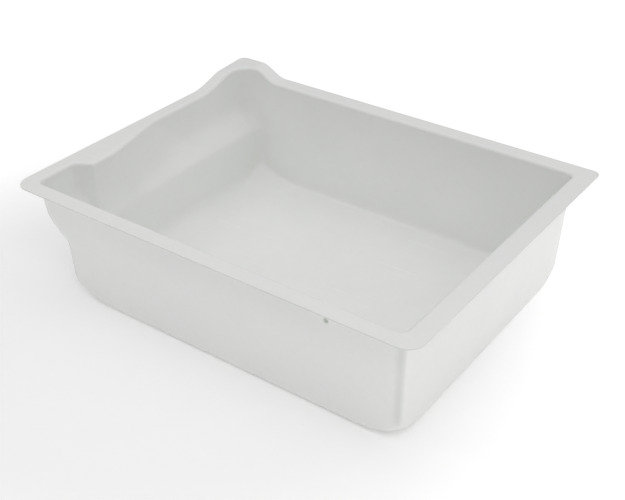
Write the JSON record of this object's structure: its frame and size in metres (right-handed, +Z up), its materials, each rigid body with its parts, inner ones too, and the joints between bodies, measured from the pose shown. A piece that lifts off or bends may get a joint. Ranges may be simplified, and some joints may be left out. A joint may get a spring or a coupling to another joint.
{
  "type": "developing tray",
  "caption": "Deep rectangular darkroom tray in white plastic: flat flange, one raised corner, and a sloping ledge with a shoulder across one end.",
  "frame": {"origin": "middle of the flat underside of the base, under the middle of the rim", "axes": "+X along the length, away from the ledge end; +Y across the width, towards the raised corner's side; +Z up out of the open top"},
  "size_m": [0.5, 0.393, 0.151],
  "materials": {
    "white_plastic": "satin white thermoformed plastic"
  },
  "bodies": {
    "root": {"tray": "white_plastic"}
  },
  "joints": []
}
